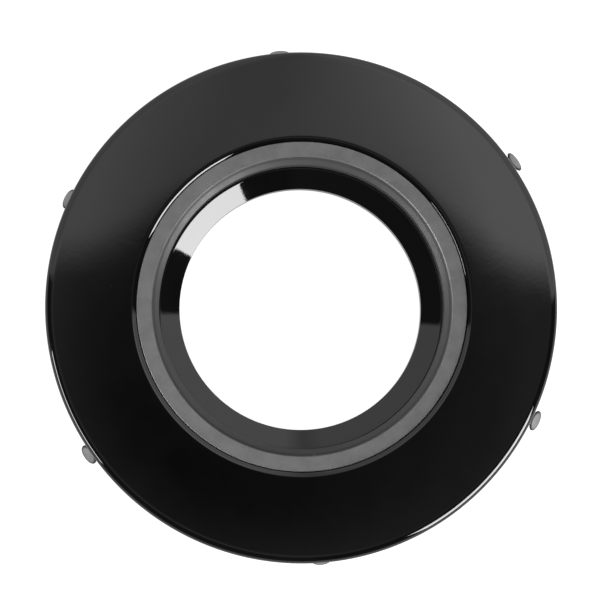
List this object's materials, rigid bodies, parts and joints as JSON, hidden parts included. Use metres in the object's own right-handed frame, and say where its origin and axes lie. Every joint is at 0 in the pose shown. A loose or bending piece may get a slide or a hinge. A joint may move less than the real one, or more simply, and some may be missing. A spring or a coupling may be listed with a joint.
{
  "type": "flanged trim ring",
  "caption": "Round flanged trim ring with a gloss black face, a recessed satin ledge, a tapered open throat and sprung retaining blades on a rear collar.",
  "frame": {"origin": "centre of the collar's rear rim, in the plane that the ring stands on when it lies face up", "axes": "+Z along the ring's axis, out of the face; +Y through the first blade, the others follow clockwise seen from the face"},
  "size_m": [0.19, 0.1946, 0.05],
  "materials": {
    "gloss_black": "high-gloss black powder coat",
    "gloss_black_throat": "high-gloss black powder coat on the throat",
    "satin_grey": "satin dark grey",
    "collar_steel": "zinc-plated pressed steel",
    "clamp_steel": "zinc-plated flat steel",
    "fastener_steel": "zinc-plated screws",
    "rivet_alloy": "bright rivets",
    "spring_steel": "tempered spring steel, dull grey",
    "foam": "closed-cell foam",
    "seal_rubber": "flat black rubber"
  },
  "bodies": {
    "root": {"trim_flange": "gloss_black", "ledge_ring": "satin_grey", "throat_cone": "gloss_black_throat", "mounting_collar": "collar_steel", "clamp_ring": "clamp_steel", "clamp_screws": "fastener_steel", "rim_gasket": "foam", "throat_seal": "seal_rubber", "blade_rivets": "rivet_alloy", "blade_foot_1": "spring_steel", "blade_foot_2": "spring_steel", "blade_foot_3": "spring_steel", "blade_foot_4": "spring_steel", "blade_foot_5": "spring_steel", "blade_foot_6": "spring_steel"},
    "blade_1": {"blade_arm_1": "spring_steel"},
    "blade_2": {"blade_arm_2": "spring_steel"},
    "blade_3": {"blade_arm_3": "spring_steel"},
    "blade_4": {"blade_arm_4": "spring_steel"},
    "blade_5": {"blade_arm_5": "spring_steel"},
    "blade_6": {"blade_arm_6": "spring_steel"}
  },
  "joints": [
    {"name": "blade_1_fold", "type": "hinge", "parent": "root", "child": "blade_1", "pos_m": [0, 0.07212, 0.0044], "axis": [1, 0, 0], "range_deg": [0, 27], "stiffness_Nm_per_rad": 0.5},
    {"name": "blade_2_fold", "type": "hinge", "parent": "root", "child": "blade_2", "pos_m": [0.06246, 0.03606, 0.0044], "axis": [0.5, -0.866, 0], "range_deg": [0, 27], "stiffness_Nm_per_rad": 0.5},
    {"name": "blade_3_fold", "type": "hinge", "parent": "root", "child": "blade_3", "pos_m": [0.06246, -0.03606, 0.0044], "axis": [-0.5, -0.866, 0], "range_deg": [0, 27], "stiffness_Nm_per_rad": 0.5},
    {"name": "blade_4_fold", "type": "hinge", "parent": "root", "child": "blade_4", "pos_m": [0, -0.07212, 0.0044], "axis": [-1, 0, 0], "range_deg": [0, 27], "stiffness_Nm_per_rad": 0.5},
    {"name": "blade_5_fold", "type": "hinge", "parent": "root", "child": "blade_5", "pos_m": [-0.06246, -0.03606, 0.0044], "axis": [-0.5, 0.866, 0], "range_deg": [0, 27], "stiffness_Nm_per_rad": 0.5},
    {"name": "blade_6_fold", "type": "hinge", "parent": "root", "child": "blade_6", "pos_m": [-0.06246, 0.03606, 0.0044], "axis": [0.5, 0.866, 0], "range_deg": [0, 27], "stiffness_Nm_per_rad": 0.5}
  ]
}
